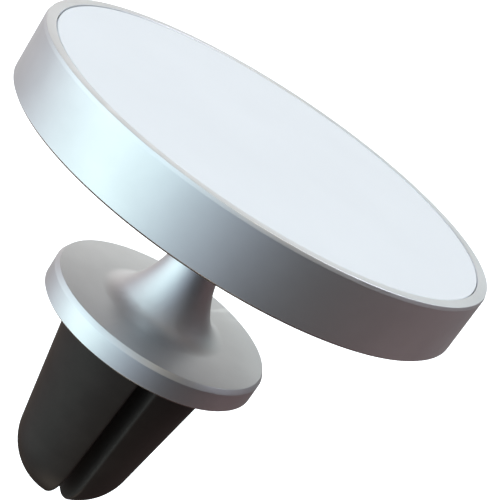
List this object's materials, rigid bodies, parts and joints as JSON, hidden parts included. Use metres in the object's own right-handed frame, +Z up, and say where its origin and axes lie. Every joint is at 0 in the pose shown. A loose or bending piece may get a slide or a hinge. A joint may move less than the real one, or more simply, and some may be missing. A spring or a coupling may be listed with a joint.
{
  "type": "car phone mount",
  "caption": "Magnetic phone mount for a car air vent: round head on a ball joint, trumpet stem, two-jaw clip that grips a vent blade.",
  "frame": {"origin": "middle of the clip's slot at its closed end, where the edge of the vent blade stops", "axes": "+Y along the stem, out of the slot's mouth; the phone face looks along -Y; +Z up when the blade lies level"},
  "size_m": [0.062, 0.0556, 0.062],
  "materials": {
    "head_shell": "satin anodised",
    "face_pad": "smooth matte silicone",
    "pad_adhesive": "film",
    "magnet_carrier": "moulded",
    "magnet_segments": "nickel plated",
    "yoke_ring": "zinc plated",
    "back_plate": "satin anodised",
    "back_plate_screws": "black oxide",
    "ball_socket": "turned",
    "socket_screws": "plain",
    "preload_ring": "smooth",
    "collar_nut": "satin anodised",
    "seat_liner": "turned acetal",
    "seat_ring": "turned acetal",
    "ball_film": "film",
    "ball_stud": "polished",
    "stem": "satin anodised",
    "base_washer": "smooth",
    "clip_base": "moulded",
    "clip_screw": "zinc plated",
    "hinge_pins": "ground",
    "jaw_springs": "spring wire",
    "upper_jaw_core": "moulded",
    "upper_jaw_grip": "satin",
    "lower_jaw_core": "moulded",
    "lower_jaw_grip": "satin"
  },
  "bodies": {
    "stem_body": {"stem": "stem", "ball_stud": "ball_stud", "base_washer": "base_washer", "clip_base": "clip_base", "clip_screw": "clip_screw", "hinge_pins": "hinge_pins", "jaw_springs": "jaw_springs"},
    "tilt_body": {"ball_film": "ball_film"},
    "swing_body": {"seat_liner": "seat_liner", "seat_ring": "seat_ring"},
    "head_body": {"head_shell": "head_shell", "face_pad": "face_pad", "pad_adhesive": "pad_adhesive", "magnet_carrier": "magnet_carrier", "magnet_segments": "magnet_segments", "yoke_ring": "yoke_ring", "back_plate": "back_plate", "back_plate_screws": "back_plate_screws", "ball_socket": "ball_socket", "socket_screws": "socket_screws", "preload_ring": "preload_ring", "collar_nut": "collar_nut"},
    "upper_jaw": {"upper_jaw_core": "upper_jaw_core", "upper_jaw_grip": "upper_jaw_grip"},
    "lower_jaw": {"lower_jaw_core": "lower_jaw_core", "lower_jaw_grip": "lower_jaw_grip"}
  },
  "joints": [
    {"name": "head_tilt", "type": "hinge", "parent": "stem_body", "child": "tilt_body", "pos_m": [0, -0.0208, 0], "axis": [1, 0, 0], "range_deg": [-25, 25]},
    {"name": "head_swing", "type": "hinge", "parent": "tilt_body", "child": "swing_body", "pos_m": [0, -0.0208, 0], "axis": [0, 0, 1], "range_deg": [-25, 25]},
    {"name": "head_spin", "type": "hinge", "parent": "swing_body", "child": "head_body", "pos_m": [0, -0.0208, 0], "axis": [0, 1, 0], "continuous": true},
    {"name": "upper_jaw_open", "type": "hinge", "parent": "stem_body", "child": "upper_jaw", "pos_m": [0, 0.0022, 0.006], "axis": [1, 0, 0], "range_deg": [0, 5.5], "stiffness_Nm_per_rad": 0.15, "springref_deg": -17.19},
    {"name": "lower_jaw_open", "type": "hinge", "parent": "stem_body", "child": "lower_jaw", "pos_m": [0, 0.0022, -0.006], "axis": [-1, 0, 0], "range_deg": [0, 5.5], "stiffness_Nm_per_rad": 0.15, "springref_deg": -17.19}
  ]
}
